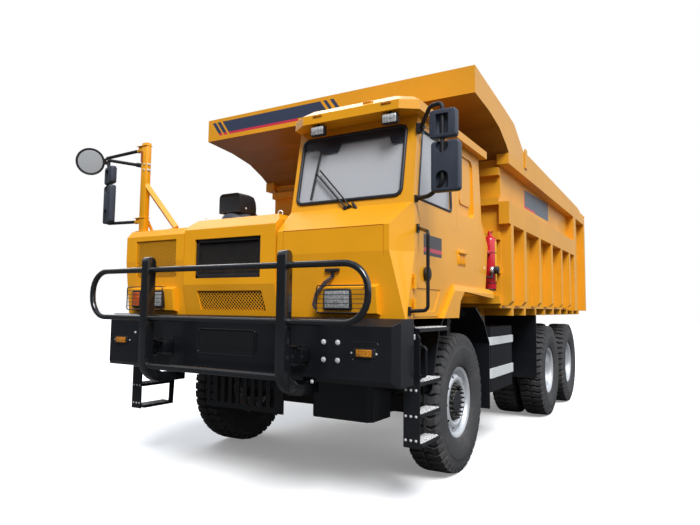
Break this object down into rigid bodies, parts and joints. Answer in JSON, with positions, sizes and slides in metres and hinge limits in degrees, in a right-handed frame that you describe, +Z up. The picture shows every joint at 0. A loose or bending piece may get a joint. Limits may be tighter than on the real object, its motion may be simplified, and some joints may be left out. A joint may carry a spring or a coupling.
{
  "type": "mining dump truck",
  "caption": "Wide-body mining dump truck with offset cab, steel bull bar, steel rock body with cab canopy, tipping hoist and twin rear drive wheels.",
  "frame": {"origin": "middle of the whole truck's box, on the ground", "axes": "the truck faces -Y, its cab is on the +X side, +Z is up"},
  "size_m": [4.6518, 8.6708, 4.035],
  "materials": {
    "body_paint": "satin yellow paint",
    "box_paint": "satin yellow-brown paint on rough plate",
    "black_paint": "semi-gloss black paint",
    "frame_paint": "matt black chassis paint",
    "axle_iron": "black painted casting",
    "engine_iron": "grey casting",
    "rim_silver": "silver paint",
    "tyre": "worn black rubber",
    "glass": "clear tinted glass",
    "lamp": "lamp glass in yellow pods",
    "red_lamp": "red lamp glass",
    "black_plastic": "moulded black plastic",
    "seat_fabric": "dark woven cloth",
    "dash_plastic": "grained grey plastic",
    "red_paint": "gloss red paint",
    "hoist_steel": "ground and chromed steel"
  },
  "bodies": {
    "root": {"chassis_frame": "frame_paint", "cross_members": "frame_paint", "engine": "engine_iron", "driveline": "axle_iron", "axles": "axle_iron", "springs": "frame_paint", "front_bumper": "black_paint", "bull_bar": "black_paint", "underbody_guards": "black_paint", "hood": "body_paint", "grille": "black_plastic", "side_box": "body_paint", "cab_shell": "body_paint", "cab_windows": "glass", "cab_roof": "body_paint", "dashboard": "dash_plastic", "driver_seat": "seat_fabric", "headlamps": "lamp", "tail_lamps": "red_lamp", "mirrors": "black_plastic", "boarding_steps": "black_paint", "fenders": "body_paint", "mudguards": "black_paint", "tanks": "black_paint", "air_intake": "black_plastic", "fire_extinguisher": "red_paint"},
    "door": {"cab_door": "body_paint", "door_window": "glass"},
    "knuckle_left": {"knuckle_left": "axle_iron"},
    "knuckle_right": {"knuckle_right": "axle_iron"},
    "tie_rod": {"tie_rod": "axle_iron"},
    "front_wheel_left": {"front_tyre_left": "tyre", "front_rim_left": "rim_silver"},
    "front_wheel_right": {"front_tyre_right": "tyre", "front_rim_right": "rim_silver"},
    "dump_body": {"dump_body": "box_paint", "canopy": "box_paint"},
    "tailgate": {"tailgate": "box_paint"},
    "hoist_barrel": {"hoist_barrel": "hoist_steel"},
    "hoist_stage_1": {"hoist_stage_1": "hoist_steel"},
    "hoist_stage_2": {"hoist_stage_2": "hoist_steel"},
    "hoist_rod": {"hoist_rod": "hoist_steel"},
    "middle_wheels_left": {"middle_tyres_left": "tyre", "middle_rims_left": "rim_silver"},
    "rear_wheels_left": {"rear_tyres_left": "tyre", "rear_rims_left": "rim_silver"},
    "middle_wheels_right": {"middle_tyres_right": "tyre", "middle_rims_right": "rim_silver"},
    "rear_wheels_right": {"rear_tyres_right": "tyre", "rear_rims_right": "rim_silver"}
  },
  "joints": [
    {"name": "steer_left", "type": "hinge", "parent": "root", "child": "knuckle_left", "pos_m": [1.405, -2.24, 0.695], "axis": [0, 0, 1], "range_deg": [-30, 30]},
    {"name": "front_spin_left", "type": "hinge", "parent": "knuckle_left", "child": "front_wheel_left", "pos_m": [1.62, -2.24, 0.695], "axis": [1, 0, 0], "continuous": true},
    {"name": "middle_spin_left", "type": "hinge", "parent": "root", "child": "middle_wheels_left", "pos_m": [1.51, 1.585, 0.695], "axis": [1, 0, 0], "continuous": true},
    {"name": "rear_spin_left", "type": "hinge", "parent": "root", "child": "rear_wheels_left", "pos_m": [1.51, 3.23, 0.695], "axis": [1, 0, 0], "continuous": true},
    {"name": "steer_right", "type": "hinge", "parent": "root", "child": "knuckle_right", "pos_m": [-0.855, -2.24, 0.695], "axis": [0, 0, 1], "range_deg": [-30, 30]},
    {"name": "front_spin_right", "type": "hinge", "parent": "knuckle_right", "child": "front_wheel_right", "pos_m": [-1.07, -2.24, 0.695], "axis": [1, 0, 0], "continuous": true},
    {"name": "middle_spin_right", "type": "hinge", "parent": "root", "child": "middle_wheels_right", "pos_m": [-0.96, 1.585, 0.695], "axis": [1, 0, 0], "continuous": true},
    {"name": "rear_spin_right", "type": "hinge", "parent": "root", "child": "rear_wheels_right", "pos_m": [-0.96, 3.23, 0.695], "axis": [1, 0, 0], "continuous": true},
    {"name": "tie_rod_pivot", "type": "hinge", "parent": "knuckle_left", "child": "tie_rod", "pos_m": [1.405, -1.94, 0.495], "axis": [0, 0, 1], "range_deg": [-30, 30]},
    {"name": "door_hinge", "type": "hinge", "parent": "root", "child": "door", "pos_m": [1.912, -3.67, 1.75], "axis": [0, 0, -1], "range_deg": [0, 70]},
    {"name": "dump_tilt", "type": "hinge", "parent": "root", "child": "dump_body", "pos_m": [0.275, 3.91, 1.3], "axis": [-1, 0, 0], "range_deg": [0, 45]},
    {"name": "tailgate_hinge", "type": "hinge", "parent": "dump_body", "child": "tailgate", "pos_m": [0.275, 4.28, 3.5], "axis": [1, 0, 0], "range_deg": [0, 75]},
    {"name": "hoist_lean", "type": "hinge", "parent": "root", "child": "hoist_barrel", "pos_m": [0.275, -1.64, 1.25], "axis": [-1, 0, 0], "range_deg": [0, 29.35]},
    {"name": "hoist_stage_1_slide", "type": "slide", "parent": "hoist_barrel", "child": "hoist_stage_1", "axis": [0, 0, 1], "range_m": [0, 1.3806]},
    {"name": "hoist_stage_2_slide", "type": "slide", "parent": "hoist_stage_1", "child": "hoist_stage_2", "axis": [0, 0, 1], "range_m": [0, 1.3806]},
    {"name": "hoist_rod_slide", "type": "slide", "parent": "hoist_stage_2", "child": "hoist_rod", "axis": [0, 0, 1], "range_m": [0, 1.3806]}
  ],
  "couplings": [
    {"joint": "steer_right", "follows": "steer_left", "ratio": 1},
    {"joint": "tie_rod_pivot", "follows": "steer_left", "ratio": -1},
    {"joint": "hoist_lean", "follows": "dump_tilt", "ratio": 0.65116},
    {"joint": "hoist_stage_1_slide", "follows": "dump_tilt", "m_per_rad": 1.7565},
    {"joint": "hoist_stage_2_slide", "follows": "dump_tilt", "m_per_rad": 1.7565},
    {"joint": "hoist_rod_slide", "follows": "dump_tilt", "m_per_rad": 1.7565}
  ]
}
